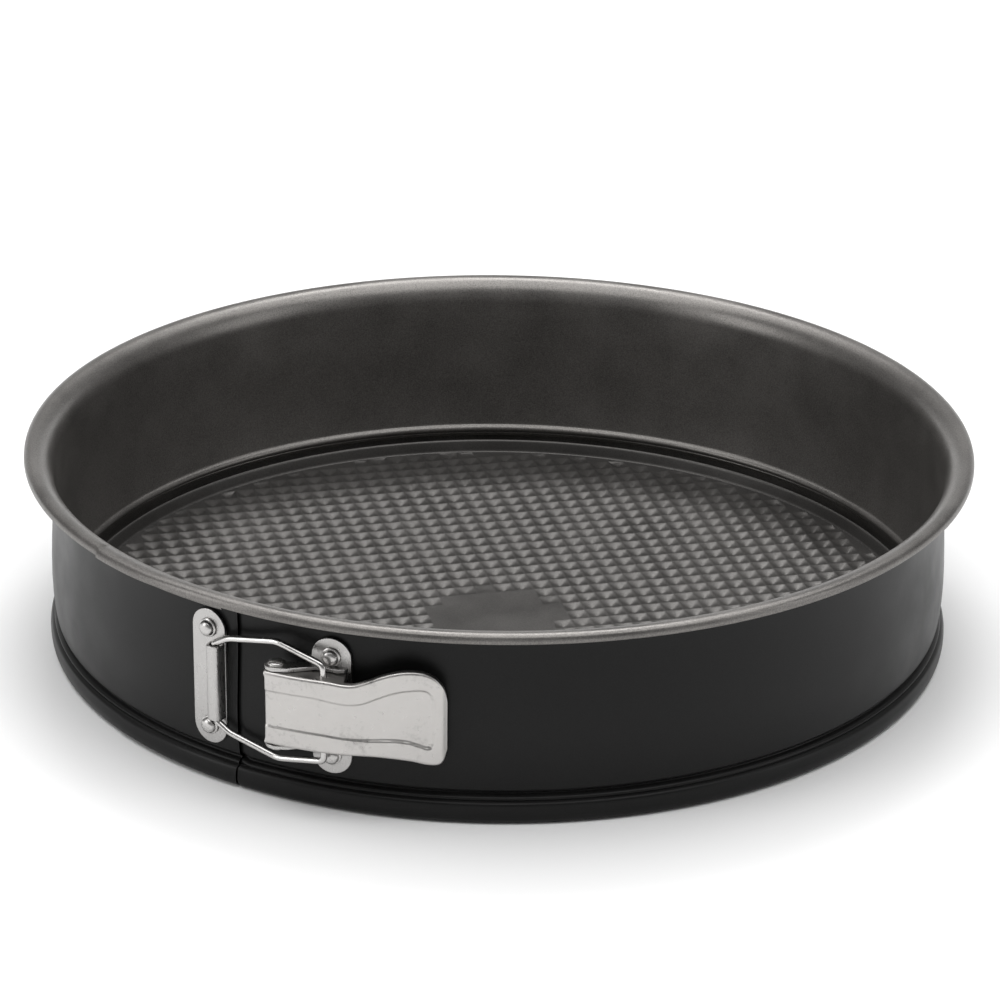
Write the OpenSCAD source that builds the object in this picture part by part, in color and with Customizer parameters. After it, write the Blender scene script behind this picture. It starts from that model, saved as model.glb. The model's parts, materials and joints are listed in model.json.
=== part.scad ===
// Springform pan: a two-layer clamped ring, a loose base plate and a toggle latch.
// Millimetres. The ring axis is Z and the pan rests on z = 0. The latch is at the front left.
// Azimuths are degrees from the front (-Y), positive to the right seen from the front.

/* [Ring] */
// inner radius of the upright wall
ring_r = 130; // [120:0.5:140]
// thickness of the ring sheet
sheet = 0.7; // [0.5:0.05:1]
// top of the rim above the table
ring_h = 58.9; // [50:0.1:70]
// how far the rim flares out past the wall
rim_out = 7.7; // [4:0.1:9]
// height of the inner bead that keeps the base down
bead_z = 8.3; // [8.2:0.1:9]
// end of the outer layer, where the lap starts
lap_az = -32.3; // [-34:0.1:-31]
// end of the inner layer, hidden behind the outer one
tail_az = -52.5; // [-60:0.5:-45]
// azimuth of the line at the back about which the ring opens
seam_az = 149; // [148:0.1:150]
// radial gap between the two layers
lap_gap = 0.2; // [0.1:0.05:0.4]

/* [Base] */
// outer radius of the base plate's raised edge
base_r = 127.5; // [118:0.1:127.6]
// height of the raised edge above the table
base_edge_z = 5.6; // [4:0.1:6]
// thickness of the base field
base_t = 1.8; // [1.2:0.1:2.4]

/* [Latch] */
// height of the middle of the latch above the table
latch_z = 31.1; // [29:0.1:34]
// azimuth of the middle of the strike plate
strike_az = -36.2; // [-36.5:0.1:-35.5]
// azimuth of the wire crossbar inside the strike knuckle
cross_az = -34.8; // [-35:0.1:-34.2]
// distance of the wire crossbar from the ring axis
cross_r = 133.6; // [133.4:0.1:134.5]
// azimuth of the lever pivot
pivot_az = -25.5; // [-26:0.1:-25]
// distance of the lever pivot from the ring axis
pivot_r = 136.5; // [136:0.1:137]
// azimuth of the hole where the wire hooks into the lever
hook_az = -19.7; // [-20:0.1:-19.3]
// distance of the hook hole from the ring axis
hook_r = 136.6; // [136.3:0.1:137]
// azimuth of the middle of the bracket plate
bracket_az = -19.6; // [-19.8:0.1:-19.2]
// height of both riveted plates
plate_h = 40.1; // [38:0.1:41]
// width of both riveted plates
plate_w = 11.3; // [10:0.1:12]
// thickness of both riveted plates
plate_t = 1.1; // [0.9:0.05:1.3]
// diameter of the bail wire
wire_d = 1.9; // [1.6:0.1:2]
// half height of the lever box over its flanges
lever_hh = 10.75; // [10:0.05:11]
// thickness of the lever sheet
lever_t = 0.8; // [0.7:0.05:1]
// half height of the lever handle at its widest
handle_hh = 13.8; // [12:0.1:16]

/* [Hidden] */
$fn = 96;
outer_r = ring_r + sheet;
mid_r = ring_r + sheet / 2;
tail_r = ring_r - lap_gap;
plate_r = outer_r + 0.05;
hair = 0.02;
pin_r = 1.5;
run = 0.05;
wire_r = wire_d / 2;
rivet_r = 1.6;
strike_collar = 2.7;
bracket_collar = 2.3; // clear of the ears
foot = 1; // gap under the inner layer of the lap
ear_z = lever_hh + 0.2;

// a point on the plan at a radius and azimuth
function polar(r, a) = [r * sin(a), -r * cos(a)];
function dist(a, b) = norm(a - b);
cross_p = polar(cross_r, cross_az);
pivot_p = polar(pivot_r, pivot_az);
hook_p = polar(hook_r, hook_az);
bail_l = dist(cross_p, hook_p);
bail_a = atan2((hook_p - cross_p)[1], (hook_p - cross_p)[0]);

// circle through three plan points: the curved outside face of the lever
lev_a = polar(140.2, -26.3);
lev_b = polar(139.1, -17.4);
lev_c = polar(134, -5.5);
function sq(p) = p * p;
function turn(a, b, c) = 2 * (a[0] * (b[1] - c[1]) + b[0] * (c[1] - a[1]) + c[0] * (a[1] - b[1]));
lev_q = [
    (sq(lev_a) * (lev_b[1] - lev_c[1]) + sq(lev_b) * (lev_c[1] - lev_a[1])
        + sq(lev_c) * (lev_a[1] - lev_b[1])) / turn(lev_a, lev_b, lev_c),
    (sq(lev_a) * (lev_c[0] - lev_b[0]) + sq(lev_b) * (lev_a[0] - lev_c[0])
        + sq(lev_c) * (lev_b[0] - lev_a[0])) / turn(lev_a, lev_b, lev_c)];
lev_r = dist(lev_q, lev_a);
function lev_ang(p) = atan2(p[0] - lev_q[0], -(p[1] - lev_q[1]));
lev_a0 = lev_ang(lev_a);
lev_a1 = lev_ang(lev_b);
lev_a2 = lev_ang(lev_c);
flange_d = 6.2;
dish_d = 2.6;

// middle line of the ring sheet, from the hem edge over the beads to the rolled rim
wall_top = ring_h - 7.2;
ring_line = [
    [ring_r - 3.75, 0.35], [ring_r + 0.9, 0.35], [ring_r + 1.5, 0.6], [ring_r + 1.85, 1.2],
    [ring_r + 1.85, 5.3], [ring_r + 1.6, 5.85], [ring_r + 0.8, 6.25], [ring_r + 0.45, 6.6],
    [ring_r + 0.85, 7.1], [ring_r + 0.45, 7.45], [ring_r - 0.45, bead_z - 0.55],
    [ring_r - 0.9, bead_z], [ring_r - 0.6, bead_z + 0.65],
    [ring_r + 0.1, bead_z + 1.25], [mid_r, bead_z + 2.1],
    [mid_r, wall_top], [mid_r + 0.25, ring_h - 5.4], [mid_r + 0.8, ring_h - 3.8],
    [mid_r + 1.65, ring_h - 2.4], [mid_r + 2.75, ring_h - 1.35], [mid_r + 4, ring_h - 0.65],
    [ring_r + rim_out - 2.1, ring_h - 0.36], [ring_r + rim_out - 0.9, ring_h - 0.38],
    [ring_r + rim_out - 0.1, ring_h - 0.8], [ring_r + rim_out + 0.22, ring_h - 1.55],
    [ring_r + rim_out + 0.25, ring_h - 2.4]];

// one side of a sheet drawn from its middle line
function unit(v) = v / norm(v);
function heading(p, i) = i == 0 ? unit(p[1] - p[0])
    : i == len(p) - 1 ? unit(p[i] - p[i - 1])
    : unit(unit(p[i] - p[i - 1]) + unit(p[i + 1] - p[i]));
function side(p, d) = [for (i = [0:len(p) - 1]) p[i] + d * [heading(p, i)[1], -heading(p, i)[0]]];
function flip(p) = [for (i = [len(p) - 1:-1:0]) p[i]];

// the whole ring, the hidden inner layer, and the piece that joins the layers
ring_profile = concat(side(ring_line, sheet / 2), flip(side(ring_line, -sheet / 2)));
foot_r = ring_r - 2.25; // clear of the inner bead
tail_top = ring_h - 5.4;
tail_profile = [
    [foot_r, foot], [foot_r + sheet, foot], [foot_r + sheet, bead_z + 1.4],
    [tail_r, bead_z + 3.2], [tail_r, tail_top], [tail_r - sheet, tail_top],
    [tail_r - sheet, bead_z + 3.3], [foot_r, bead_z + 1.5]];

base_profile = [
    [0, 0], [base_r - 2.6, 0], [base_r - 2.1, 0.3], [base_r - 2, 0.76], [base_r - 0.5, 0.76],
    [base_r, 1.2], [base_r, base_edge_z - 0.75], [base_r - 0.15, base_edge_z - 0.3],
    [base_r - 0.5, base_edge_z], [base_r - 0.85, base_edge_z], [base_r - 1.2, base_edge_z - 0.3],
    [base_r - 1.35, base_edge_z - 0.75], [base_r - 1.6, base_t + 1.2], [base_r - 2, base_t + 0.4],
    [base_r - 2.6, base_t], [0, base_t]];

// a closed profile swept round the ring axis between two azimuths
module sweep(a, b, profile) {
    rotate_extrude(start = a - 90, angle = b - a, $fn = 360) polygon(profile);
}

// a band of a cylinder about the ring axis
module shell(r0, r1, z0, z1, a, b) {
    sweep(a, b, [[r0, z0], [r1, z0], [r1, z1], [r0, z1]]);
}

// moves a child to the wall, its -Y pointing outward
module at_wall(a, r, z) {
    rotate([0, 0, a]) translate([0, -r, z]) children();
}

// moves a child to the wall, its +Z pointing outward
module out_of_wall(a, r, z) {
    at_wall(a, r, z) rotate([90, 0, 0]) children();
}

// radial hole through a sheet or plate
module rivet_hole(a, z) {
    out_of_wall(a, ring_r - 4, z) cylinder(r = rivet_r + hair, h = 10);
}

rivet_dz = 14.6;
rivet_up = latch_z + rivet_dz;
rivet_down = latch_z - rivet_dz;

// upright plate with round ends that follows the wall
module riveted_plate(a) {
    intersection() {
        shell(plate_r, plate_r + plate_t, latch_z - plate_h / 2, latch_z + plate_h / 2, a - 4, a + 4);
        union() {
            for (s = [-1, 1])
                out_of_wall(a, ring_r - 5, latch_z + s * (plate_h - plate_w) / 2)
                    cylinder(d = plate_w, h = 15);
            at_wall(a, ring_r + 10, latch_z - (plate_h - plate_w) / 2)
                translate([-plate_w / 2, 0, 0]) cube([plate_w, 15, plate_h - plate_w]);
        }
    }
}

// rivet with a collared round head outside, and a flush or a low inner end
module wall_rivet(a, z, collar, inner) {
    out_of_wall(a, 0, z) {
        start = inner ? ring_r - 0.4 : ring_r + 0.12;
        translate([0, 0, start]) cylinder(r = rivet_r, h = plate_r + plate_t + 0.3 - start);
        translate([0, 0, plate_r + plate_t + hair]) {
            cylinder(r = collar, h = 0.6);
            rotate_extrude() polygon([[0, 0.3], [2.2, 0.3], [2.2, 0.9], [2, 1.35], [1.5, 1.7], [0.8, 1.9],
                [0, 1.95]]);
        }
        if (inner)
            translate([0, 0, ring_r - 0.85])
                rotate_extrude() polygon([[0, 0], [1.2, 0.05], [2.1, 0.35], [2.5, 0.75], [0, 0.75]]);
    }
}

// right half of the ring: carries the bracket, and ends in the inner layer of the lap
module band_right() {
    color("#4b4c4e") difference() {
        union() {
            sweep(lap_az + 0.15, seam_az - 0.02, ring_profile);
            sweep(tail_az, lap_az + 2.6, tail_profile);
            shell(tail_r - sheet / 2, mid_r, bead_z + 4, wall_top - 0.4, lap_az + 0.3, lap_az + 2.2);
        }
        for (z = [rivet_up, rivet_down]) rivet_hole(bracket_az, z);
    }
}

// left half of the ring: carries the strike, and ends in the outer layer of the lap
module band_left() {
    color("#454648") difference() {
        sweep(seam_az + 0.02 - 360, lap_az, ring_profile);
        for (z = [rivet_up, rivet_down]) rivet_hole(strike_az, z);
    }
}

// loose round bottom with a raised rolled edge
module base_plate() {
    color("#66686b") rotate_extrude($fn = 360) polygon(base_profile);
}

// the tunnel is larger than the wire because the crossbar shifts in it as the lever turns
tunnel_in = wire_r + 0.2;
tunnel_right = wire_r + 2.9;
tunnel_out = wire_r + 2.4;
knuckle_t = 0.75;
knuckle_hh = 11.1;

// strike plate with the folded knuckle that holds the crossbar of the bail
module strike_plate() {
    color("#9c9a96") difference() {
        union() {
            riveted_plate(strike_az);
            intersection() {
                at_wall(cross_az, cross_r, latch_z - knuckle_hh)
                    translate([-tunnel_in - knuckle_t, -tunnel_out - knuckle_t, 0])
                        cube([tunnel_in + tunnel_right + 2 * knuckle_t, 12, 2 * knuckle_hh]);
                shell(plate_r, ring_r + 12, 0, ring_h, strike_az - 6, strike_az + 6);
                at_wall(cross_az, cross_r, 0)
                    translate([-tunnel_in - knuckle_t + 4.1, 1.9, 0]) cylinder(r = 6.45, h = ring_h);
            }
        }
        at_wall(cross_az, cross_r, latch_z - plate_h)
            translate([-tunnel_in, -tunnel_out, 0])
                cube([tunnel_in + tunnel_right, tunnel_in + tunnel_out, 2 * plate_h]);
        for (z = [rivet_up, rivet_down]) rivet_hole(strike_az, z);
    }
}

module strike_rivet_upper() { color("#8e8f90") wall_rivet(strike_az, rivet_up, strike_collar, false); }
module strike_rivet_lower() { color("#8e8f90") wall_rivet(strike_az, rivet_down, strike_collar, false); }

// plan of one ear of the bracket: an arm from the plate to the lever pivot
module ear_plan() {
    arm = [polar(plate_r + 0.2, bracket_az + 2.2), polar(plate_r + 2.6, bracket_az + 1.7),
        polar(plate_r + 3, bracket_az - 1.4), polar(pivot_r + 1.4, pivot_az + 1.2),
        polar(pivot_r - 1.2, pivot_az - 1.1), polar(pivot_r - 3, pivot_az + 1.1),
        polar(plate_r + 0.2, bracket_az - 2.1)];
    linear_extrude(height = plate_t) polygon(arm);
    translate(pivot_p) cylinder(r = 3.1, h = plate_t);
}

// bracket plate with two ears that hold the lever
module catch_bracket() {
    color("#a5a29c") difference() {
        union() {
            riveted_plate(bracket_az);
            translate([0, 0, latch_z + ear_z]) ear_plan();
            translate([0, 0, latch_z - ear_z - plate_t]) ear_plan();
        }
        translate([pivot_p[0], pivot_p[1], 0]) cylinder(r = pin_r + hair, h = ring_h);
        for (z = [rivet_up, rivet_down]) rivet_hole(bracket_az, z);
    }
}

module bracket_rivet_upper() { color("#8e8f90") wall_rivet(bracket_az, rivet_up, bracket_collar, true); }
module bracket_rivet_lower() { color("#8e8f90") wall_rivet(bracket_az, rivet_down, bracket_collar, true); }

// short headed pin through one ear and one flange of the lever
module lever_pin() {
    translate([pivot_p[0], pivot_p[1], 0]) {
        translate([0, 0, lever_hh - lever_t - 0.5]) cylinder(r = pin_r, h = ear_z + plate_t - lever_hh + 1.6);
        translate([0, 0, lever_hh - lever_t - 0.15 - 0.7]) cylinder(r = 2.2, h = 0.7);
        translate([0, 0, ear_z + plate_t + hair])
            rotate_extrude() polygon([[0, 0], [2.4, 0], [2.3, 0.5], [1.7, 0.9], [0.8, 1.05], [0, 1.05]]);
    }
}

module lever_pivot_upper() { color("#979899") translate([0, 0, latch_z]) lever_pin(); }
module lever_pivot_lower() { color("#979899") translate([0, 0, latch_z]) mirror([0, 0, 1]) lever_pin(); }

// a band of the lever's own curve, between two depths below its outside face
module lever_shell(d0, d1, hh, a, b) {
    translate([lev_q[0], lev_q[1], 0])
        sweep(a, b, [[lev_r - d1, -hh], [lev_r - d0, -hh], [lev_r - d0, hh], [lev_r - d1, hh]]);
}

// points along a quarter circle
function quarter(c, r, a) = [for (t = [0:15:90]) c + r * [cos(a + t), sin(a + t)]];

// outline of the handle on its curved face: a neck that widens to a rounded end
module handle_prism(in) {
    mid = (lev_a1 + lev_a2) / 2;
    x0 = lev_r * (lev_a1 - mid) * PI / 180 - 2;
    x1 = -x0 - 2 - in;
    r = 5 - in;
    flare = x1 - r - 6;
    top = handle_hh - in;
    translate([lev_q[0], lev_q[1], 0]) rotate([0, 0, mid]) translate([0, -lev_r + 30, 0])
        rotate([90, 0, 0]) linear_extrude(height = 40) polygon(concat(
            [[x0, in - lever_hh], [x0 + 5, in - lever_hh], [flare, -top]],
            quarter([x1 - r, r - top], r, -90), quarter([x1 - r, top - r], r, 0),
            [[flare, top], [x0 + 5, lever_hh - in], [x0, lever_hh - in]]));
}

// the handle's outline cut from a curved sheet between two depths below its outside face
module handle_solid(d0, d1, in) {
    intersection() {
        translate([lev_q[0], lev_q[1], -2 * handle_hh]) difference() {
            cylinder(r = lev_r - d0, h = 4 * handle_hh, $fn = 200);
            translate([0, 0, -1]) cylinder(r = lev_r - d1, h = 4 * handle_hh + 2, $fn = 200);
        }
        handle_prism(in);
    }
}

// curved lever: a channel at the pivot end and a shallow dished handle
module latch_lever() {
    color("#b9b6b0") translate([0, 0, latch_z]) difference() {
        union() {
            lever_shell(0, lever_t, lever_hh, lev_a0 + 0.9, lev_a1 + 0.5);
            for (s = [-1, 1]) translate([0, 0, s * (lever_hh - lever_t / 2)]) {
                lever_shell(0, flange_d, lever_t / 2, lev_a0 + 1.2, lev_a1);
                translate([pivot_p[0], pivot_p[1], -lever_t / 2]) cylinder(r = 3.4, h = lever_t);
            }
            difference() {
                handle_solid(0, dish_d, 0);
                handle_solid(lever_t, dish_d + 1, lever_t);
            }
        }
        translate([pivot_p[0], pivot_p[1], -20]) cylinder(r = pin_r + run, h = 40);
        translate([hook_p[0], hook_p[1], -20]) cylinder(r = wire_r + run, h = 40);
    }
}

// half outline of the bail in its own plane: along the wire from the crossbar, and height
bail_half = [[0, 11.4], [4.6, 14.1], [20.6, 17.4], [bail_l, 14.2], [bail_l, 8.5]];
bail_line = concat(flip([for (p = bail_half) [p[0], -p[1]]]), bail_half);
bend_r = 2.2;
// the bends are a hair thicker than the legs, which reach a little way into them
bend_wire_r = wire_r + 0.02;
tuck = 0.1;

// angle of a corner of the outline, and how much of each leg its bend takes
function leg_a(i) = let (v = bail_line[i + 1] - bail_line[i]) atan2(v[1], v[0]);
function corner(i) = let (t = leg_a(i) - leg_a(i - 1)) t > 180 ? t - 360 : t < -180 ? t + 360 : t;
function taken(i) = i <= 0 || i >= len(bail_line) - 1 ? 0 : bend_r * tan(abs(corner(i)) / 2);

// one straight leg of the wire between its bends
module wire_leg(i) {
    v = bail_line[i + 1] - bail_line[i];
    translate(bail_line[i] + (taken(i) - tuck) * unit(v)) rotate([0, 0, leg_a(i)]) rotate([0, 90, 0])
        cylinder(r = wire_r, h = norm(v) - taken(i) - taken(i + 1) + 2 * tuck, $fn = 40);
}

// one bend of the wire
module wire_bend(i) {
    a = leg_a(i - 1);
    t = corner(i);
    s = sign(t);
    tangent = bail_line[i] - taken(i) * [cos(a), sin(a)];
    translate(tangent + s * bend_r * [-sin(a), cos(a)])
        rotate_extrude(start = t > 0 ? a - 90 : a + 90 + t, angle = abs(t))
            translate([bend_r, 0]) circle(r = bend_wire_r, $fn = 40);
}

// bent wire loop: a crossbar in the knuckle, two legs and two hooks in the lever
module wire_bail() {
    color("#cfcfcf") translate([cross_p[0], cross_p[1], latch_z]) rotate([90, 0, bail_a]) {
        for (i = [0:len(bail_line) - 2]) wire_leg(i);
        for (i = [1:len(bail_line) - 2]) wire_bend(i);
    }
}

band_right();
band_left();
base_plate();
strike_plate();
strike_rivet_upper();
strike_rivet_lower();
catch_bracket();
bracket_rivet_upper();
bracket_rivet_lower();
lever_pivot_upper();
lever_pivot_lower();
latch_lever();
wire_bail();
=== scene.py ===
import json
import math

import bmesh
import bpy
from mathutils import Matrix, Vector


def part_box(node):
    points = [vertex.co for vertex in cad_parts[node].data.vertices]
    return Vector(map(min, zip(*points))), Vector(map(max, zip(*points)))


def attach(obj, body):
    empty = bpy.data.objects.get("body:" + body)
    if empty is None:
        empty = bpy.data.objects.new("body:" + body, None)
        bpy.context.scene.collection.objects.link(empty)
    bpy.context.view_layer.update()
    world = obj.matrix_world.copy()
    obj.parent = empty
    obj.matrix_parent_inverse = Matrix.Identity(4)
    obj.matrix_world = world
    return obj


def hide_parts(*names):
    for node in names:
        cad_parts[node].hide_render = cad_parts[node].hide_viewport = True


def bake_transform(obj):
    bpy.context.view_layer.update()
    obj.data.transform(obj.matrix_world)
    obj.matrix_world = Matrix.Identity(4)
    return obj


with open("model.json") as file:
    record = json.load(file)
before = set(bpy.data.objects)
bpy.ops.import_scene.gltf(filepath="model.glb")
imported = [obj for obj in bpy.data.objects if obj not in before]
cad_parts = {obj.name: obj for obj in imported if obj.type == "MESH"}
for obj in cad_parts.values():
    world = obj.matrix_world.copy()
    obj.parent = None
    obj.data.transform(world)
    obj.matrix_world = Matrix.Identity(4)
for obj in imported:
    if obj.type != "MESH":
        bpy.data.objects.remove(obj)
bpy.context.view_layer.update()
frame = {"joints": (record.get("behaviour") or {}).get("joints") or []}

MM = 0.001

# ---------------------------------------------------------------- sizes, in millimetres
joints = {j["name"]: j for j in frame["joints"]}


def in_mm(v):
    """A place from the frame, turned from metres to millimetres."""
    return Vector(v) / MM


def azimuth(p):
    """Degrees from the front (-Y), positive towards +X."""
    return math.degrees(math.atan2(p[0], -p[1]))


def middle(node):
    """Middle of a CAD piece's box."""
    low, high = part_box(node)
    return in_mm((low + high) / 2)


# the lever's pivot, the bail's hooks, the line about which the ring opens, and the bail's crossbar
PIVOT = in_mm(joints["lever_swing"]["pos_m"])
HOOK = in_mm(joints["bail_swing"]["pos_m"])
BACK = in_mm(joints["ring_spread"]["pos_m"])
WIRE_R = 0.95
bail_low, bail_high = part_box("wire_bail")
CROSS = Vector((bail_low.x / MM + WIRE_R, bail_high.y / MM - WIRE_R, PIVOT.z))

# ring and base: heights above the table, and radii of the base, the wall's inside and the sheet's middle
RING_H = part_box("band_right")[1].z / MM
BASE_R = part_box("base_plate")[1].x / MM
BASE_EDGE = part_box("base_plate")[1].z / MM
RING_R = BASE_R + 2.5
RIM_OUT = 7.7
SHEET = 0.7
BEAD_Z = 8.3
MID_R = RING_R + SHEET / 2

# the two riveted plates of the latch
PLATE_R = RING_R + SHEET + 0.05
PLATE_T = 1.1
PLATE_W = 11.3
LATCH_Z = PIVOT.z
PLATE_H = 2 * (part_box("catch_bracket")[1].z / MM - LATCH_Z)
STRIKE_AZ = azimuth(middle("strike_rivet_upper"))
BRACKET_AZ = azimuth(middle("bracket_rivet_upper"))
RIVET_UP = middle("strike_rivet_upper").z - LATCH_Z

# azimuths of the ring: its back line, the ends of its outer and inner layers, and the reach of its bend
BACK_AZ = azimuth(BACK)
LAP_AZ = -32.3
TAIL_AZ = -52.5
FLEX = 49.0


def polar(r, az, z=0.0):
    """A point at a radius from the ring's axis and an azimuth from the front."""
    a = math.radians(az)
    return Vector((r * math.sin(a), -r * math.cos(a), z))


def smooth(t, a=0.0, b=1.0):
    """0 at a, 1 at b, with a soft start and end."""
    t = min(1.0, max(0.0, (t - a) / (b - a)))
    return t * t * (3 - 2 * t)


# ---------------------------------------------------------------- materials
# noise scales of the coating and of the bare steel, and bump depths in metres
FLAKE, PEEL, MOTTLE = 2600, 420, 55
GRAIN, CLOUD = 1500, 130
PEEL_DEEP, FLAKE_DEEP, GRAIN_DEEP = 0.00008, 0.00005, 0.00003
MOTTLE_SHARE, CLOUD_SHARE = 0.35, 1.2


def node(tree, kind, **settings):
    """Adds a shader node; each setting is one of its inputs or one of its options."""
    n = tree.nodes.new(kind)
    for key, value in settings.items():
        if key in n.inputs:
            n.inputs[key].default_value = value
        else:
            setattr(n, key, value)
    return n


def new_material(name, **shader):
    """A material with constant inputs on its Principled BSDF, named with _ for a space."""
    m = bpy.data.materials.new(name)
    m.use_nodes = True
    tree = m.node_tree
    bsdf = tree.nodes["Principled BSDF"]
    for key, value in shader.items():
        bsdf.inputs[key.replace("_", " ")].default_value = value
    return m, tree, bsdf


def coords(tree, scale=(1, 1, 1)):
    """Object coordinates, stretched where a scale is below 1."""
    c = node(tree, "ShaderNodeTexCoord")
    m = node(tree, "ShaderNodeMapping")
    m.inputs["Scale"].default_value = scale
    tree.links.new(c.outputs["Object"], m.inputs["Vector"])
    return m.outputs["Vector"]


def noise(tree, vector, scale, detail=3.0, roughness=0.55):
    n = node(tree, "ShaderNodeTexNoise", Scale=scale, Detail=detail, Roughness=roughness)
    tree.links.new(vector, n.inputs["Vector"])
    return n.outputs["Fac"]


def ramp(tree, value, first, last):
    """Colour that follows a value between two (position, colour) stops."""
    r = node(tree, "ShaderNodeValToRGB")
    for element, (position, colour) in zip(r.color_ramp.elements, (first, last)):
        element.position = position
        element.color = colour
    tree.links.new(value, r.inputs["Fac"])
    return r.outputs["Color"]


def remap(tree, value, low, high):
    """Spreads the middle of a noise over a range."""
    m = node(tree, "ShaderNodeMapRange")
    for name, number in (("From Min", 0.3), ("From Max", 0.7), ("To Min", low), ("To Max", high)):
        m.inputs[name].default_value = number
    tree.links.new(value, m.inputs["Value"])
    return m.outputs["Result"]


def weighted_sum(tree, value, weight, other):
    """value * weight + other"""
    mix = node(tree, "ShaderNodeMath", operation="MULTIPLY_ADD")
    mix.inputs[1].default_value = weight
    tree.links.new(value, mix.inputs[0])
    tree.links.new(other, mix.inputs[2])
    return mix.outputs[0]


def bump(tree, bsdf, height, strength, distance, base=None):
    """Adds relief to a material, on top of an earlier bump if one is given."""
    b = node(tree, "ShaderNodeBump", Strength=strength, Distance=distance)
    tree.links.new(height, b.inputs["Height"])
    if base is not None:
        tree.links.new(base, b.inputs["Normal"])
    tree.links.new(b.outputs["Normal"], bsdf.inputs["Normal"])
    return b.outputs["Normal"]


def grey(v, warm=0.0):
    return (v * (1 + warm), v, v * (1 - warm), 1)


def coat_material(name, dark, light, metallic, rough, spec, grain, warm=0.01):
    """Non-stick coating with a fine flake, a slow mottle and a faint orange peel."""
    m, tree, bsdf = new_material(name, Metallic=metallic, Specular_IOR_Level=spec)
    v = coords(tree)
    flake = noise(tree, v, FLAKE, 2.0, 0.7)
    mottle = noise(tree, v, MOTTLE, 4.0)
    tone = weighted_sum(tree, mottle, MOTTLE_SHARE, flake)
    colour = ramp(tree, tone, (0.42, grey(dark, warm)), (0.86, grey(light, warm)))
    tree.links.new(colour, bsdf.inputs["Base Color"])
    tree.links.new(remap(tree, mottle, rough - 0.05, rough + 0.06), bsdf.inputs["Roughness"])
    peel = bump(tree, bsdf, noise(tree, v, PEEL, 2.0), 0.10 * grain, PEEL_DEEP)
    bump(tree, bsdf, flake, 0.35 * grain, FLAKE_DEEP, peel)
    return m


def steel_material(name, tone, rough, streak=(1, 1, 1), wear=0.04, warm=0.02, relief=0.25):
    """Satin steel: fine grain, which streak can stretch, and soft clouding."""
    m, tree, bsdf = new_material(name, Metallic=1.0)
    v = coords(tree, streak)
    grain = noise(tree, v, GRAIN, 3.0, 0.65)
    cloud = noise(tree, coords(tree), CLOUD, 4.0, 0.6)
    mix = weighted_sum(tree, cloud, CLOUD_SHARE, grain)
    colour = ramp(tree, mix, (0.6, grey(tone - wear, warm)), (1.0, grey(tone + wear, warm)))
    tree.links.new(colour, bsdf.inputs["Base Color"])
    tree.links.new(remap(tree, grain, rough - 0.06, rough + 0.08), bsdf.inputs["Roughness"])
    bump(tree, bsdf, grain, relief, GRAIN_DEEP)
    return m


MAT_OUT = coat_material("coat_outside", dark=0.005, light=0.009, metallic=0.0, rough=0.36, spec=0.17,
                        grain=0.35)
MAT_IN = coat_material("coat_inside", dark=0.09, light=0.20, metallic=0.75, rough=0.36, spec=0.5, grain=1.0,
                       warm=0.05)
MAT_BASE = coat_material("coat_base", dark=0.055, light=0.10, metallic=0.75, rough=0.42, spec=0.5, grain=0.9,
                         warm=0.04)
MAT_PLATE = steel_material("satin_plate", tone=0.40, rough=0.30, streak=(1, 1, 0.25))
MAT_LEVER = steel_material("satin_lever", tone=0.40, rough=0.33, streak=(0.5, 0.5, 0.5), wear=0.08, warm=0.03)
MAT_WIRE = steel_material("bright_wire", tone=0.52, rough=0.20, wear=0.03, relief=0.1)
MAT_RIVET = steel_material("satin_rivet", tone=0.46, rough=0.30, relief=0.06)


# ---------------------------------------------------------------- mesh making
# degrees past which an edge stays sharp
SHARP = 40


def add_mesh(name, verts, faces, materials, slots=None, normals=None, sharp=None):
    """A smooth object from points in millimetres, with its own normals or with edges sharp past an angle."""
    mesh = bpy.data.meshes.new(name)
    mesh.from_pydata([tuple(Vector(v) * MM) for v in verts], [], faces)
    for m in materials:
        mesh.materials.append(m)
    if slots:
        mesh.polygons.foreach_set("material_index", slots)
    mesh.polygons.foreach_set("use_smooth", [True] * len(mesh.polygons))
    if normals:
        mesh.normals_split_custom_set_from_vertices([tuple(n) for n in normals])
    elif sharp is not None:
        mesh.set_sharp_from_angle(angle=math.radians(sharp))
    mesh.update()
    o = bpy.data.objects.new(name, mesh)
    bpy.context.scene.collection.objects.link(o)
    return o


def place(o, body, slot, *replaced):
    """Lets an object ride on a body, in place of CAD nodes, which it hides. The slot argument is not used."""
    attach(o, body)
    if replaced:
        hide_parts(*replaced)


def turn_outward(o):
    """Makes the faces of a closed mesh look outward."""
    bm = bmesh.new()
    bm.from_mesh(o.data)
    bmesh.ops.recalc_face_normals(bm, faces=bm.faces)
    bm.to_mesh(o.data)
    bm.free()


def tube_faces(rings, n):
    """Quads between closed rings of n points each."""
    return [(j * n + k, j * n + (k + 1) % n, (j + 1) * n + (k + 1) % n, (j + 1) * n + k)
            for j in range(rings - 1) for k in range(n)]


def capped_tube_faces(rings, n):
    """The same, with a flat face over each end."""
    last = (rings - 1) * n
    return tube_faces(rings, n) + [tuple(reversed(range(n))), tuple(range(last, last + n))]


def spaced(a, b, step):
    """Even numbers from a to b, about one step apart."""
    count = max(1, round(abs(b - a) / step))
    return [a + (b - a) * i / count for i in range(count + 1)]


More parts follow.
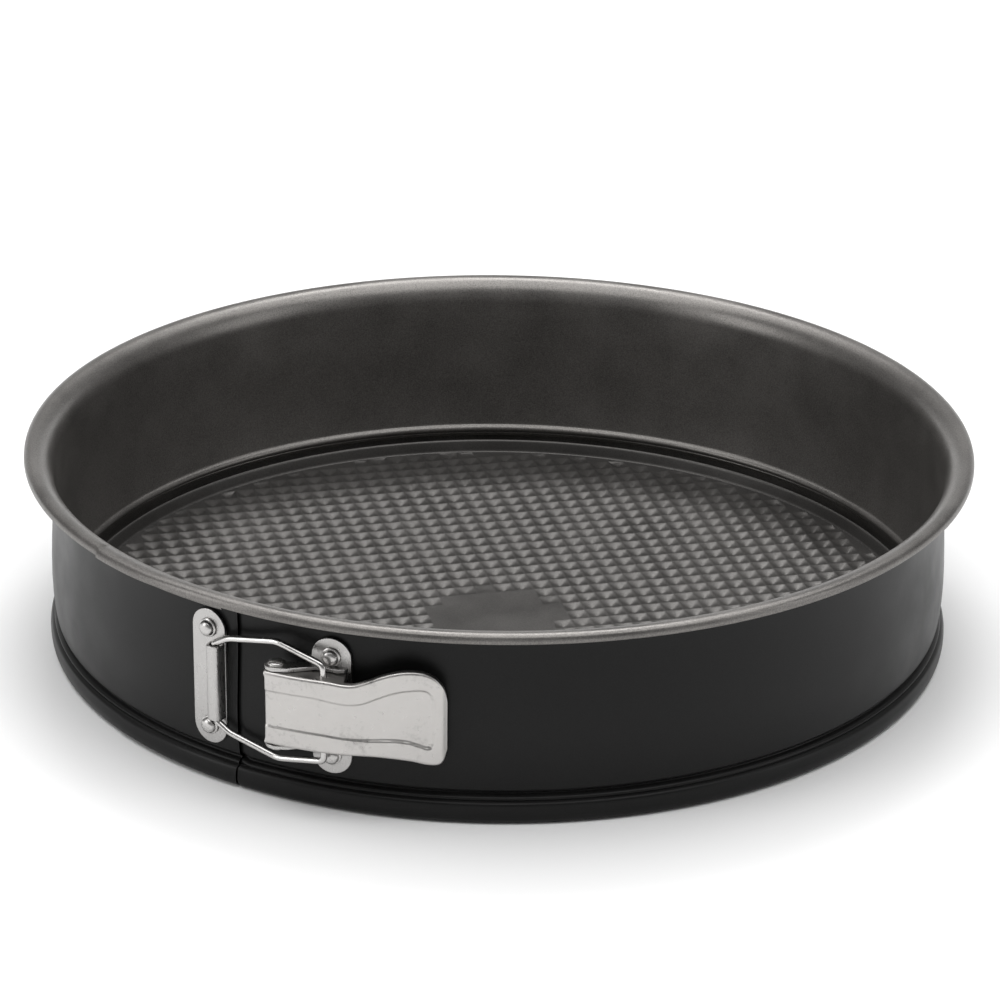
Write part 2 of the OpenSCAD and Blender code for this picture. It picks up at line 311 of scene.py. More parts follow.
# ---------------------------------------------------------------- the ring
# (radius, height) along the middle of the sheet, from the hem to the rolled rim
RING_LINE = [
    (RING_R - 3.75, 0.35), (RING_R - 0.2, 0.35), (RING_R + 0.7, 0.42), (RING_R + 1.4, 0.85),
    (RING_R + 1.85, 1.7), (RING_R + 1.85, 5.3), (RING_R + 1.6, 5.85), (RING_R + 0.8, 6.25),
    (RING_R + 0.45, 6.6), (RING_R + 0.85, 7.1), (RING_R + 0.45, 7.45), (RING_R - 0.45, BEAD_Z - 0.55),
    (RING_R - 0.9, BEAD_Z), (RING_R - 0.6, BEAD_Z + 0.65), (RING_R + 0.1, BEAD_Z + 1.25),
    (MID_R, BEAD_Z + 2.1), (MID_R, RING_H - 7.2), (MID_R + 0.25, RING_H - 5.4),
    (MID_R + 0.8, RING_H - 3.8), (MID_R + 1.65, RING_H - 2.4), (MID_R + 2.75, RING_H - 1.35),
    (MID_R + 4, RING_H - 0.65), (RING_R + RIM_OUT - 2.1, RING_H - 0.36),
    (RING_R + RIM_OUT - 0.9, RING_H - 0.38), (RING_R + RIM_OUT - 0.1, RING_H - 0.8),
    (RING_R + RIM_OUT + 0.22, RING_H - 1.55), (RING_R + RIM_OUT + 0.25, RING_H - 2.4)]
# the narrowest place between the lower flange and the inner bead
NECK_Z = 6.6


def headings(points):
    """Direction of a line of points at each of them."""
    out = []
    for i, p in enumerate(points):
        a = points[max(i - 1, 0)]
        b = points[min(i + 1, len(points) - 1)]
        u = (Vector(p) - Vector(a)).normalized() if i else Vector((0, 0))
        w = (Vector(b) - Vector(p)).normalized() if i < len(points) - 1 else Vector((0, 0))
        out.append((u + w).normalized())
    return out


def hermite(p, q, span, leave, arrive, t):
    """Cubic curve from p to q over a span, with a slope at each end; t runs from 0 to 1."""
    return ((2 * t ** 3 - 3 * t ** 2 + 1) * p + (t ** 3 - 2 * t ** 2 + t) * span * leave
            + (-2 * t ** 3 + 3 * t ** 2) * q + (t ** 3 - t ** 2) * span * arrive)


def rounded_line(points, steps=4, straight=12.0):
    """Smooth curve through the points, in more steps on a stretch longer than straight."""
    points = [Vector(p) for p in points]
    d = headings(points)
    out = []
    for i in range(len(points) - 1):
        p, q = points[i], points[i + 1]
        length = (q - p).length
        count = 8 if length > straight else steps
        out += [hermite(p, q, length, d[i], d[i + 1], k / count) for k in range(count)]
    return out + [points[-1]]


def sheet_loop(line, thick):
    """Closed outline of a sheet: (point, normal, is_outside) round both faces and both edges."""
    d = headings(line)
    right = [Vector((v[1], -v[0])) for v in d]
    half = thick / 2
    loop = [(p + n * half, n, True) for p, n in zip(line, right)]
    loop += [(line[-1] + d[-1] * half * 0.9, d[-1], False)]
    loop += [(p - n * half, -n, False) for p, n in reversed(list(zip(line, right)))]
    loop += [(line[0] - d[0] * half * 0.9, -d[0], False)]
    return loop


def sweep(name, loop, azimuths, move, caps, inside, outside):
    """Sweeps a closed outline round the ring axis; move(az, r, z) shifts each point.

    caps holds, for the first and the last azimuth, the height below which that end is closed.
    """
    verts, normals, faces, slots = [], [], [], []
    n = len(loop)
    for az in azimuths:
        for p, normal, _ in loop:
            dr, dz = move(az, p[0], p[1]) if move else (0.0, 0.0)
            verts.append(polar(p[0] + dr, az, p[1] + dz))
            normals.append(polar(normal[0], az, normal[1]))
    for j in range(len(azimuths) - 1):
        for i in range(n):
            k = (i + 1) % n
            a, b = j * n, (j + 1) * n
            faces.append((a + i, b + i, b + k, a + k))
            slots.append(0 if loop[i][2] and loop[k][2] else 1)
    # point m lies on the sheet's upper edge, so points i and 2 * m - i face each other across the sheet
    m = n // 2 - 1
    for end, j, turned in ((0, 0, False), (1, len(azimuths) - 1, True)):
        if not caps[end]:
            continue
        base, tangent = len(verts), polar(1, azimuths[j] + (90 if end else -90))
        verts += verts[j * n:(j + 1) * n]
        normals += [tangent] * n
        cap = [(i, i + 1, 2 * m - 1 - i, 2 * m - i) for i in range(m - 1) if loop[i][0][1] < caps[end]]
        cap += [(2 * m + 1, 0, 2 * m)] + ([(m - 1, m, m + 1)] if loop[m][0][1] < caps[end] else [])
        for corner in cap:
            corner = [base + i for i in corner]
            faces.append(tuple(corner) if turned else tuple(reversed(corner)))
            slots.append(0)
    return add_mesh(name, verts, faces, [outside, inside], slots, normals)


# outlines of the whole sheet, and of the part above the neck that continues behind the other layer
ring_curve = rounded_line(RING_LINE)
ring_loop = sheet_loop(ring_curve, SHEET)
tail_loop = sheet_loop([p for p in ring_curve if p[1] >= NECK_Z], SHEET)
# how far the inner layer steps in: the sheet and a little play
LAP_STEP = SHEET + 0.25
# where the right half's full sheet starts, and where its rows stop being close together
JOIN_AZ = LAP_AZ + 0.15
DENSE_AZ = -29


def rim_share(z):
    """0 on the wall and 1 on the rim."""
    return smooth(z, RING_H - 5.4, RING_H - 2.4)


def inner_layer(az, r, z):
    """Steps the right end in behind the other layer; its rim stays on top and hooks over."""
    if z < NECK_Z - 0.3:
        return 0.0, 0.0
    step = smooth(-az, -LAP_AZ - 1.5, -JOIN_AZ)
    low = smooth(z, NECK_Z - 0.3, NECK_Z + 0.6)
    over = smooth(-az, -LAP_AZ + 3, -TAIL_AZ - 6) * smooth(r, RING_R + 3.5, RING_R + RIM_OUT)
    rim = rim_share(z)
    return 0.5 * over - LAP_STEP * step * low * (1 - rim), -0.35 * over


def outer_layer(az, r, z):
    """Runs the left end under the other layer's rim, with its hem pushed out a little."""
    s = smooth(-az, -TAIL_AZ + 0.6, -TAIL_AZ - 0.4)
    rim = rim_share(z)
    hem = (1 - smooth(z, 5.6, NECK_Z)) * smooth(z, 0.9, 1.6)
    return s * (0.35 * hem - 0.45 * rim), -0.75 * s * rim


# rows are closer together where a layer steps
ring_right = sweep("ring_right", ring_loop,
                   spaced(JOIN_AZ, DENSE_AZ, 0.15) + spaced(DENSE_AZ + 1, BACK_AZ - FLEX, 1),
                   inner_layer, (NECK_Z, 0), MAT_IN, MAT_OUT)
place(ring_right, "right_ring", "ring_sheet", "band_right")
ring_tail = sweep("ring_tail", tail_loop, spaced(TAIL_AZ, JOIN_AZ, 0.5), inner_layer,
                  (RING_H, 0), MAT_IN, MAT_OUT)
place(ring_tail, "right_ring", "ring_sheet")
ring_left = sweep("ring_left", ring_loop, spaced(BACK_AZ + FLEX - 360, TAIL_AZ - 2, 1)
                  + spaced(TAIL_AZ - 1.75, TAIL_AZ + 1.5, 0.25) + spaced(TAIL_AZ + 2, LAP_AZ, 0.5),
                  outer_layer, (0, RING_H), MAT_IN, MAT_OUT)
place(ring_left, "left_ring", "ring_sheet", "band_left")
# the back third, between the two halves, is one fixed piece that follows neither half as the ring opens
ring_back = sweep("ring_back", ring_loop, spaced(BACK_AZ - FLEX, BACK_AZ + FLEX, 1), None, (0, 0),
                  MAT_IN, MAT_OUT)
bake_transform(ring_back)

# ---------------------------------------------------------------- the base plate
# the field inside the raised edge, the plain strip round it, its height, and the sheet's thickness
FIELD_R = BASE_R - 2.5
FIELD_EDGE = 0.25
FIELD_TOP = 1.8
BASE_SHEET = 0.4
# side of a dimple's cell, the pattern's turn in degrees, and the depth of a dimple
PITCH = 5.81
WAFFLE_TURN = 13.1
DIMPLE = 1.15
# rings of a dimple: share of the half pitch, share of the depth
DIMPLE_RINGS = [(0.94, 0.02), (0.87, 0.09), (0.66, 0.34), (0.44, 0.6), (0.22, 0.86), (0.08, 1.0)]
UNDER_RINGS = [(0.9, 0.05), (0.45, 0.6), (0.08, 1.0)]
# the smooth patch near the middle
PATCH = Vector((-0.5, -2.5))
PATCH_R = 18.6


def sunk(p):
    """Share of its depth that a dimple centred at a point has: none at the field's edge and on the patch."""
    return smooth(FIELD_R - p.length, 0.7, 2.5) * smooth((p - PATCH).length, PATCH_R + 0.6, PATCH_R + 2.4)


def waffle(bm, z, rings, flip):
    """Fills the field with square dimples, and gives the points of the circle round it."""
    turn = Matrix.Rotation(math.radians(WAFFLE_TURN), 2)
    count = int(FIELD_R / PITCH) + 2
    nodes = {}

    def point(p, down=0.0):
        if p.length > FIELD_R:
            p, down = p.normalized() * FIELD_R, 0.0
        return bm.verts.new((p.x, p.y, z - DIMPLE * down))

    def lattice(i, j):
        p = turn @ (Vector((i - 0.5, j - 0.5)) * PITCH)
        if (i, j) not in nodes:
            nodes[i, j] = point(p)
        return nodes[i, j], p

    def face(vs):
        bm.faces.new(list(reversed(vs)) if flip else vs)

    for i in range(-count, count + 1):
        for j in range(-count, count + 1):
            cell = [lattice(i + a, j + b) for a, b in ((0, 0), (1, 0), (1, 1), (0, 1))]
            corners = [p for _, p in cell]
            if min(p.length for p in corners) > FIELD_R - 0.3:
                continue
            centre = (corners[0] + corners[2]) / 2
            depth = sunk(centre)
            outer = [v for v, _ in cell]
            for share, down in rings:
                ring = [point(centre + (p - centre) * share, down * depth) for p in corners]
                for k in range(4):
                    face([outer[k], outer[(k + 1) % 4], ring[(k + 1) % 4], ring[k]])
                outer = ring
            face(outer)
    for v in [v for v in bm.verts if not v.link_faces]:
        bm.verts.remove(v)
    edge = [bm.verts.new(polar(FIELD_R + FIELD_EDGE, a, z)) for a in spaced(0, 359, 1)]
    rim = [bm.edges.new((edge[k], edge[(k + 1) % len(edge)])) for k in range(len(edge))]
    border = [e for e in bm.edges if len(e.link_faces) == 1 and abs(e.verts[0].co.z - z) < 1e-4]
    bmesh.ops.triangle_fill(bm, use_beauty=True, edges=border + rim, normal=(0, 0, -1 if flip else 1))
    return edge


def base_plate():
    """The loose plate: waffled field above and below, joined by the raised rolled edge."""
    bm = bmesh.new()
    top = waffle(bm, FIELD_TOP, DIMPLE_RINGS, False)
    under = waffle(bm, FIELD_TOP - BASE_SHEET, UNDER_RINGS, True)
    line = rounded_line([
        (FIELD_R + FIELD_EDGE, FIELD_TOP), (FIELD_R + 0.5, FIELD_TOP + 0.3), (BASE_R - 1.75, FIELD_TOP + 1.3),
        (BASE_R - 1.4, BASE_EDGE - 1.0), (BASE_R - 1.15, BASE_EDGE - 0.3), (BASE_R - 0.7, BASE_EDGE),
        (BASE_R - 0.25, BASE_EDGE - 0.3), (BASE_R, BASE_EDGE - 0.9), (BASE_R, 1.3),
        (BASE_R - 0.3, 0.82), (BASE_R - 1.2, 0.78), (BASE_R - 1.8, 0.95),
        (FIELD_R + FIELD_EDGE, FIELD_TOP - BASE_SHEET)], 3)
    edge = [[bm.verts.new(polar(r, a, z)) for a in spaced(0, 359, 1)] for r, z in line[1:-1]]
    for last, ring in zip([top] + edge, edge + [under]):
        for k in range(len(ring)):
            j = (k + 1) % len(ring)
            bm.faces.new((last[k], ring[k], ring[j], last[j]))
    bmesh.ops.recalc_face_normals(bm, faces=bm.faces)
    for v in bm.verts:
        v.co *= MM
    for f in bm.faces:
        f.smooth = True
    mesh = bpy.data.meshes.new("base_pressing")
    bm.to_mesh(mesh)
    bm.free()
    mesh.materials.append(MAT_BASE)
    mesh.set_sharp_from_angle(angle=math.radians(SHARP))
    o = bpy.data.objects.new("base_pressing", mesh)
    bpy.context.scene.collection.objects.link(o)
    place(o, "base", "base_sheet", "base_plate")


base_plate()


# ---------------------------------------------------------------- latch: shared shapes
def lathe(profile, steps=40):
    """(radius, height) outline turned about Z, as verts and faces, with a small flat at each end."""
    verts = []
    for r, z in profile:
        for k in range(steps):
            a = 2 * math.pi * k / steps
            verts.append(Vector((r * math.cos(a), r * math.sin(a), z)))
    return verts, capped_tube_faces(len(profile), steps)


def arc(middle_y, r, a0, a1, count):
    """Points on a circle whose middle is at x = 0, between two angles in degrees."""
    angles = [math.radians(a0 + (a1 - a0) * k / count) for k in range(count + 1)]
    return [(r * math.cos(a), middle_y + r * math.sin(a)) for a in angles]


def stadium(w, h, count=14):
    """Outline of an upright plate with round ends."""
    r = w / 2
    return arc(h / 2 - r, r, 0, 180, count) + arc(r - h / 2, r, 180, 360, count)


def soften_edges(o):
    """Small rounds on a plate's cut edges."""
    b = o.modifiers.new("soft_edges", "BEVEL")
    b.width = 0.22 * MM
    b.segments = 3
    b.limit_method = "ANGLE"
    b.angle_limit = math.radians(SHARP)
    b.harden_normals = True


def slab(outline, low, high, transform):
    """Extrudes a flat outline between two depths, then transforms it."""
    n = len(outline)
    verts = [transform((p[0], p[1], low)) for p in outline] + [transform((p[0], p[1], high)) for p in outline]
    faces = [tuple(reversed(range(n))), tuple(range(n, 2 * n))]
    faces += [(k, (k + 1) % n, n + (k + 1) % n, n + k) for k in range(n)]
    return verts, faces


def merged(*parts):
    """Several (verts, faces) pairs as one."""
    verts, faces = [], []
    for v, f in parts:
        base = len(verts)
        verts += v
        faces += [tuple(i + base for i in face) for face in f]
    return verts, faces


def on_wall(az):
    """Places (sideways, height, out of the wall) points round the wall, from a plate's middle."""
    return lambda p: polar(PLATE_R + p[2], az + math.degrees(p[0] / PLATE_R), LATCH_Z + p[1])


# (radius, height over the plate) of a rivet's collar and round head
RIVET_HEAD = [(2.55, 0), (2.7, 0.12), (2.7, 0.42), (2.55, 0.55), (2.28, 0.6), (2.22, 0.95), (2.1, 1.3),
              (1.85, 1.6), (1.45, 1.83), (0.95, 1.95), (0.4, 2.0)]
# (radius, depth behind the plate's back) of an inner end that is flush with the ring, and of a low round one
FLUSH_END = [(1.55, -0.8)]
ROUND_END = [(0.4, -1.62), (1.1, -1.58), (1.9, -1.35), (2.35, -1.05), (2.5, -0.78), (1.6, -0.76)]


def wall_rivet(name, az, up, inner_end, body):
    """A rivet through a plate and the ring."""
    head = [(1.6, PLATE_T - 0.2)] + [(r, PLATE_T + z) for r, z in RIVET_HEAD]
    verts, faces = lathe(inner_end + head)
    put = on_wall(az)
    o = add_mesh(name, [put((v.x, up + v.y, v.z)) for v in verts], faces, [MAT_RIVET], sharp=45)
    place(o, body, "rivet", name.replace("_head", ""))


for which, up in (("upper", RIVET_UP), ("lower", -RIVET_UP)):
    wall_rivet("strike_rivet_%s_head" % which, STRIKE_AZ, up, FLUSH_END, "left_ring")
    wall_rivet("bracket_rivet_%s_head" % which, BRACKET_AZ, up, ROUND_END, "right_ring")

# ---------------------------------------------------------------- latch: strike plate with its knuckle
# the knuckle's half height, the crossbar's place beside the plate's middle and out from its back
KNUCKLE_H = 11.1
KNUCKLE_X = (CROSS - polar(CROSS.xy.length, STRIKE_AZ)).xy.length
CROSS_OUT = CROSS.xy.length - PLATE_R
KNUCKLE_HALF_W = 2.2
KNUCKLE_RISE = CROSS_OUT + WIRE_R + 0.95
KNUCKLE_T = 0.75
KNUCKLE_FOOT = 0.1


def knuckle_outlines():
    """Outer and inner (sideways, out of the wall) outlines of the fold round the crossbar."""
    half, rise, foot = KNUCKLE_HALF_W, KNUCKLE_RISE, KNUCKLE_FOOT
    turns = [math.pi * k / 24 for k in range(25)]
    outer = [(KNUCKLE_X + half, foot)]
    outer += [(KNUCKLE_X + half * math.copysign(abs(math.cos(a)) ** 0.55, math.cos(a)),
               foot + (rise - foot) * abs(math.sin(a)) ** 0.6) for a in turns]
    outer += [(KNUCKLE_X - half, foot)]
    inner = [(KNUCKLE_X + (x - KNUCKLE_X) * (half - KNUCKLE_T) / half,
              foot + (y - foot) * (rise - KNUCKLE_T) / rise) for x, y in outer]
    return outer, inner


def strike():
    """Riveted plate with the folded knuckle that holds the bail's crossbar."""
    flat = on_wall(STRIKE_AZ)
    plate = slab(stadium(PLATE_W, PLATE_H), 0, PLATE_T, flat)
    outer, inner = knuckle_outlines()
    loop = outer + inner[::-1]
    n = len(loop)
    rows = spaced(-KNUCKLE_H, KNUCKLE_H, 2)
    verts = [flat((x, h, y)) for h in rows for x, y in loop]
    faces = tube_faces(len(rows), n)
    for base, turned in ((0, True), ((len(rows) - 1) * n, False)):
        for k in range(len(outer) - 1):
            quad = (base + k, base + k + 1, base + n - 2 - k, base + n - 1 - k)
            faces.append(tuple(reversed(quad)) if turned else quad)
    verts, faces = merged(plate, (verts, faces))
    o = add_mesh("strike", verts, faces, [MAT_PLATE], sharp=SHARP)
    soften_edges(o)
    place(o, "left_ring", "latch_plate", "strike_plate")


strike()

# ---------------------------------------------------------------- latch: bracket with two ears
# distance of each ear from the latch's middle height, and the radius of the ear's round end
EAR_Z = 10.95
EAR_R = 3.2


def bracket():
    """Riveted plate with the two ears that hold the lever's pins."""
    parts = [slab(stadium(PLATE_W, PLATE_H), 0, PLATE_T, on_wall(BRACKET_AZ))]
    pr, pa = PIVOT.xy.length, azimuth(PIVOT)
    arm = [polar(PLATE_R + 0.3, BRACKET_AZ - 2.1), polar(PLATE_R + 0.3, BRACKET_AZ + 2.2),
           polar(PLATE_R + 2.3, BRACKET_AZ + 1.9), polar(PLATE_R + 3.0, BRACKET_AZ + 1.0),
           polar(PLATE_R + 3.1, BRACKET_AZ - 1.6), polar(pr + 1.9, pa + 1.7)]
    tip = [PIVOT.xy + Vector((EAR_R * math.cos(math.radians(a)), EAR_R * math.sin(math.radians(a))))
           for a in spaced(-78 + pa, -310 + pa, 14)]
    outline = [(p[0], p[1]) for p in arm + tip]
    for s in (1, -1):
        low, high = sorted((s * EAR_Z, s * (EAR_Z + PLATE_T)))
        parts.append(slab(outline, low, high, lambda p: Vector((p[0], p[1], LATCH_Z + p[2]))))
    verts, faces = merged(*parts)
    o = add_mesh("bracket", verts, faces, [MAT_PLATE])
    turn_outward(o)
    o.data.set_sharp_from_angle(angle=math.radians(SHARP))
    soften_edges(o)
    place(o, "right_ring", "latch_plate", "catch_bracket")


bracket()

# (radius, height over the latch's middle) of a pin's end inside the lever, and (radius, height over the ear)
# of its head
PIN_FOOT = [(2.0, 9.12), (2.2, 9.25), (2.2, 9.75), (1.5, 9.8), (1.5, EAR_Z + PLATE_T)]
PIN_HEAD = [(2.35, 0.02), (2.4, 0.2), (2.25, 0.55), (1.85, 0.82), (1.2, 0.98), (0.5, 1.04)]


def lever_pin(name, s):
    """A short headed pin through one ear and one flange of the lever, above (1) or below (-1) the middle."""
    verts, faces = lathe(PIN_FOOT + [(r, EAR_Z + PLATE_T + z) for r, z in PIN_HEAD])
    verts = [Vector((PIVOT.x + v.x, PIVOT.y + v.y, LATCH_Z + s * v.z)) for v in verts]
    if s < 0:
        faces = [tuple(reversed(f)) for f in faces]
    o = add_mesh(name, verts, faces, [MAT_RIVET], sharp=45)
    place(o, "right_ring", "rivet", name.replace("_head", ""))


lever_pin("lever_pivot_upper_head", 1)
lever_pin("lever_pivot_lower_head", -1)

# ---------------------------------------------------------------- latch: lever
LEVER_T = 0.8
LEVER_BEND = 0.9
# plan points on the outside face: the left edge, the end of the box, and the tip
LEVER_LINE = [polar(140.2, -26.3), polar(139.1, -17.4), polar(134, -5.5)]
# (distance along the lever, height from its middle) of the edges and of the pressed panel
LEVER_TOP = [(-1, 10.8), (9, 10.8), (18, 10.75), (22.2, 10.4), (25, 10.5), (28, 11.5), (33, 13.6), (37, 14.7),
             (40.5, 15), (44, 14.5), (46.8, 13), (48.7, 10.9), (49.7, 9), (50.2, 6.5)]
LEVER_BOTTOM = [(-1, -10.6), (9, -10.6), (22, -10.6), (28, -10.45), (33, -10.6), (40.3, -11.5), (44.2, -12.5),
                (46.8, -12.85), (48.3, -12.5), (49.4, -11.4), (50.2, -9)]
PANEL_TOP = [(-1, 5.3), (7.5, 5.5), (14, 5.5), (22.6, 4.6), (27.2, 5.1), (31.2, 6.8), (35.1, 8.4), (39, 9.3),
             (43, 9.5), (45, 8.9), (46, 7.4), (46.4, 5)]
PANEL_BOTTOM = [(-1, -5.1), (9.5, -5), (16.4, -5.1), (22.5, -5.5), (31, -5.5), (36.4, -5.3), (40.3, -5.9),
                (43, -6.9), (45.2, -7.6), (46, -6.9), (46.4, -5)]


def circle_through(a, b, c):
    """Middle of the circle through three plan points."""
    d = 2 * (a.x * (b.y - c.y) + b.x * (c.y - a.y) + c.x * (a.y - b.y))
    sq = [p.x ** 2 + p.y ** 2 for p in (a, b, c)]
    x = (sq[0] * (b.y - c.y) + sq[1] * (c.y - a.y) + sq[2] * (a.y - b.y)) / d
    y = (sq[0] * (c.x - b.x) + sq[1] * (a.x - c.x) + sq[2] * (b.x - a.x)) / d
    return Vector((x, y))


def along(table, u):
    """Smooth curve through a table of (distance, value)."""
    u = min(max(u, table[0][0]), table[-1][0])
    k = next(i for i in range(len(table) - 1) if u <= table[i + 1][0])
    (x0, y0), (x1, y1) = table[k], table[k + 1]
    before, after = table[max(k - 1, 0)], table[min(k + 2, len(table) - 1)]
    m0 = (y1 - before[1]) / (x1 - before[0])
    m1 = (after[1] - y0) / (after[0] - x0)
    return hermite(y0, y1, x1 - x0, m0, m1, (u - x0) / (x1 - x0))


# middle and radius of the lever's curve
LEVER_MID = circle_through(*LEVER_LINE)
LEVER_R = (LEVER_LINE[0].xy - LEVER_MID).length


def lever_angle(p):
    """Angle of a plan point about the middle of the lever's curve."""
    return math.atan2(p.x - LEVER_MID.x, -(p.y - LEVER_MID.y))


LEVER_A0 = lever_angle(LEVER_LINE[0])


def lever_u(p):
    """Distance of a plan point along the lever's curve."""
    return (lever_angle(p) - LEVER_A0) * LEVER_R


LEVER_L = lever_u(LEVER_LINE[2])
BOX_END = lever_u(LEVER_LINE[1]) + 0.5
# the tables are a little longer than the curve
STRETCH = LEVER_TOP[-1][0] / LEVER_L
# the pivot's distance along the lever and depth below its face, and the flange's round end about it
PIVOT_U = lever_u(PIVOT)
PIVOT_D = LEVER_R - (PIVOT.xy - LEVER_MID).length
LOBE_R = 3.3
FLANGE_STEPS = 6
WEB_STEPS = 72


def panel(u, z):
    """Depth of the panel pressed into the outside face, with sloped walls."""
    t = u * STRETCH
    inside = min(along(PANEL_TOP, t) - z, z - along(PANEL_BOTTOM, t), PANEL_TOP[-1][0] - t)
    deep = 0.30 + 0.32 * smooth(u, BOX_END, BOX_END + 12)
    return deep * smooth(inside, -0.32, 0.32)


def lever_rows():
    """(distance along, depth below the face) of each row; the first rows turn the left edge in."""
    rows = [(0.0, 1.7), (0.0, 1.2)]
    quarter = [math.pi / 2 * k / 5 for k in range(6)]
    rows += [(0.8 - 0.8 * math.cos(a), 0.8 - 0.8 * math.sin(a)) for a in quarter]
    rows += [(u, 0) for u in spaced(1.2, BOX_END - 0.8, 0.45) + spaced(BOX_END - 0.4, BOX_END + 0.4, 0.1)
             + spaced(BOX_END + 0.8, LEVER_L - 5.4, 0.4)
             + [LEVER_L - 5 * (1 - math.sin(math.pi / 2 * k / 18)) for k in range(19)]]
    return rows


def flange(u, edge, s, back):
    """Points from a flange's free edge to the bend: deep along the box, and only a lip on the handle."""
    deep = 0.7 + 4.6 * (1 - smooth(u, BOX_END - 0.3, BOX_END + 0.3))
    out = []
    for k in range(FLANGE_STEPS, 0, -1):
        d = LEVER_BEND + deep * k / FLANGE_STEPS
        reach = LOBE_R ** 2 - (d - PIVOT_D) ** 2
        left = min(0.0, PIVOT_U - math.sqrt(max(0.0, reach)))
        out.append((u + left * max(0.0, 1 - u / 3) - back, edge, d))
    for k in range(FLANGE_STEPS, 0, -1):
        a = math.pi / 2 * k / FLANGE_STEPS
        out.append((u - back, edge - s * LEVER_BEND * (1 - math.sin(a)), LEVER_BEND * (1 - math.cos(a))))
    return out


def lever_section(j, u, down):
    """(along, height, depth) points of row j, from the lower flange over the face to the upper one."""
    top, bottom = along(LEVER_TOP, u * STRETCH), along(LEVER_BOTTOM, u * STRETCH)
    low, high = bottom + LEVER_BEND, top - LEVER_BEND
    # the first two rows share a place along, so their flanges are set a hair apart
    back = 0.01 * max(0, 2 - j)
    face = []
    for k in range(WEB_STEPS + 1):
        z = low + (high - low) * k / WEB_STEPS
        share = smooth(min(z - low, high - z), -0.4, 1.3)
        face.append((u, z, panel(u, z) + down * share))
    return flange(u, bottom, -1, back) + face + flange(u, top, 1, back)[::-1]


def lever():
    """One curved sheet: a box with two flanges that widens into the handle."""
    verts, faces = [], []
    sections = [lever_section(j, u, down) for j, (u, down) in enumerate(lever_rows())]
    for x, z, d in [p for section in sections for p in section]:
        tip = 1.1 * smooth(x, LEVER_L - 1.8, LEVER_L + 0.5)
        a, r = LEVER_A0 + x / LEVER_R, LEVER_R - d - tip
        verts.append(Vector((LEVER_MID.x + r * math.sin(a), LEVER_MID.y - r * math.cos(a), LATCH_Z + z)))
    n = len(sections[0])
    for j in range(len(sections) - 1):
        for k in range(n - 1):
            faces.append((j * n + k, (j + 1) * n + k, (j + 1) * n + k + 1, j * n + k + 1))
    o = add_mesh("lever_shell", verts, faces, [MAT_LEVER])
    s = o.modifiers.new("sheet", "SOLIDIFY")
    s.thickness = LEVER_T * MM
    s.offset = -1
    s.use_even_offset = True
    s.use_quality_normals = True
    place(o, "lever", "lever_sheet", "latch_lever")


lever()

# ---------------------------------------------------------------- latch: wire bail
# (distance past an end, share of the radius) of the chamfer at each end of the wire
WIRE_END = [(0.16, 0.62), (0.1, 0.85)]
WIRE_SIDES = 20


def rounded_corners(line, radii):
    """A path along straight stretches, with a curve that starts radii[i] before corner i."""
    path = [Vector(line[0])]
    for i in range(1, len(line) - 1):
        a, p, b = (Vector(line[k]) for k in (i - 1, i, i + 1))
        start, end = p + (a - p).normalized() * radii[i], p + (b - p).normalized() * radii[i]
        for k in range(9):
            t = k / 8
            path.append((1 - t) ** 2 * start + 2 * t * (1 - t) * p + t * t * end)
    return path + [Vector(line[-1])]


def wire():
    """Round wire from one hook over the crossbar to the other, on (towards the hooks, height) points."""
    span = HOOK - CROSS
    length = span.xy.length
    along_span = Vector((span.x, span.y, 0)).normalized()
    half = [(0, 11.4), (4.6, 14.1), (20.6, 17.4), (length, 14.2), (length, 8.5)]
    line = [(x, -z) for x, z in reversed(half)] + half
    path = rounded_corners(line, [0, 1.6, 2.0, 1.6, 1.2, 1.2, 1.6, 2.0, 1.6, 0])
    rings = []
    for i, p in enumerate(path):
        d = (path[min(i + 1, len(path) - 1)] - path[max(i - 1, 0)]).normalized()
        rings.append((p, d, 1.0))
    (first, first_d, _), (last, last_d, _) = rings[0], rings[-1]
    rings = ([(first - first_d * out, first_d, share) for out, share in WIRE_END] + rings
             + [(last + last_d * out, last_d, share) for out, share in reversed(WIRE_END)])
    across = Vector((along_span.y, -along_span.x, 0))
    verts = []
    for p, d, share in rings:
        centre = CROSS + along_span * p[0] + Vector((0, 0, p[1]))
        side = Vector((0, 0, 1)) * d[0] - along_span * d[1]
        for k in range(WIRE_SIDES):
            a = 2 * math.pi * k / WIRE_SIDES
            verts.append(centre + (side * math.cos(a) + across * math.sin(a)) * WIRE_R * share)
    o = add_mesh("bail", verts, capped_tube_faces(len(rings), WIRE_SIDES), [MAT_WIRE], sharp=50)
    turn_outward(o)
    place(o, "bail", "bail_wire", "wire_bail")


wire()

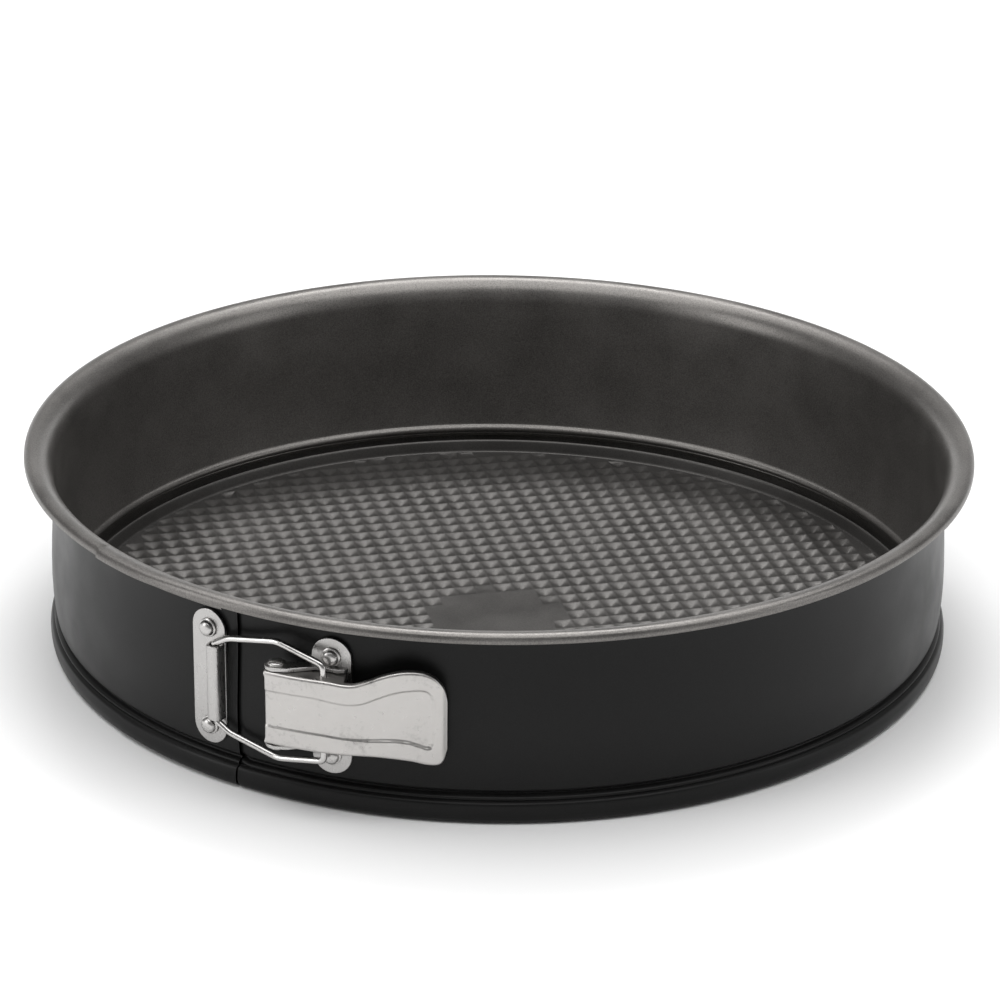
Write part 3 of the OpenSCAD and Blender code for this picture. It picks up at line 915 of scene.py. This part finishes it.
# ---------------------------------------------------------------- floor, light, camera
# from here on in metres; the floor lies a hair below the pan
scene = bpy.context.scene
grid = bmesh.new()
bmesh.ops.create_grid(grid, x_segments=8, y_segments=8, size=4.0)
floor_mesh = bpy.data.meshes.new("floor")
grid.to_mesh(floor_mesh)
grid.free()
floor = bpy.data.objects.new("floor", floor_mesh)
floor.location = (0, 0, -0.0002)
scene.collection.objects.link(floor)
floor_mesh.materials.append(new_material("floor_paper", Base_Color=grey(0.86), Roughness=0.9,
                                         Specular_IOR_Level=0.1)[0])

world = bpy.data.worlds.new("studio")
scene.world = world
world.use_nodes = True
background = world.node_tree.nodes["Background"]
background.inputs["Color"].default_value = grey(1)
background.inputs["Strength"].default_value = 0.22


def area_light(name, at, target, size, power):
    """A soft box that looks at a target."""
    data = bpy.data.lights.new(name, "AREA")
    data.shape = "RECTANGLE"
    data.size, data.size_y = size
    data.energy = power
    o = bpy.data.objects.new(name, data)
    o.location = at
    o.rotation_euler = (Vector(target) - Vector(at)).to_track_quat("-Z", "Y").to_euler()
    scene.collection.objects.link(o)


area_light("top_box", (0.0, 0.0, 1.5), (0, 0, 0), (2.2, 2.2), 36)
area_light("back_box", (0.0, 0.9, 1.5), (0, 0, 0.05), (0.8, 0.4), 9)
area_light("back_card", (0.0, 1.7, 0.22), (0, 0, 0.06), (2.6, 0.4), 5)
area_light("left_box", (-1.3, -0.5, 0.5), (0, 0, 0.03), (0.5, 0.9), 5)
area_light("right_box", (1.3, -0.4, 0.5), (0, 0, 0.03), (0.5, 0.9), 3)

# the photo's viewing angle, the distance in metres, and a slight roll of the picture
CAM_EL = math.radians(24.86)
CAM_DIST = 1.2033
CAM_ROLL = math.radians(0.62)
camera_data = bpy.data.cameras.new("camera")
camera_data.sensor_width = 36
camera_data.lens = 145.13
camera_data.shift_x = 0.0026
camera_data.shift_y = 0.1183
camera = bpy.data.objects.new("camera", camera_data)
camera.location = (0, -CAM_DIST * math.cos(CAM_EL), CAM_DIST * math.sin(CAM_EL))
tilt = Matrix.Rotation(math.pi / 2 - CAM_EL, 3, "X")
camera.rotation_euler = (tilt @ Matrix.Rotation(CAM_ROLL, 3, "Z")).to_euler()
scene.collection.objects.link(camera)
scene.camera = camera
scene.view_settings.view_transform = "Standard"
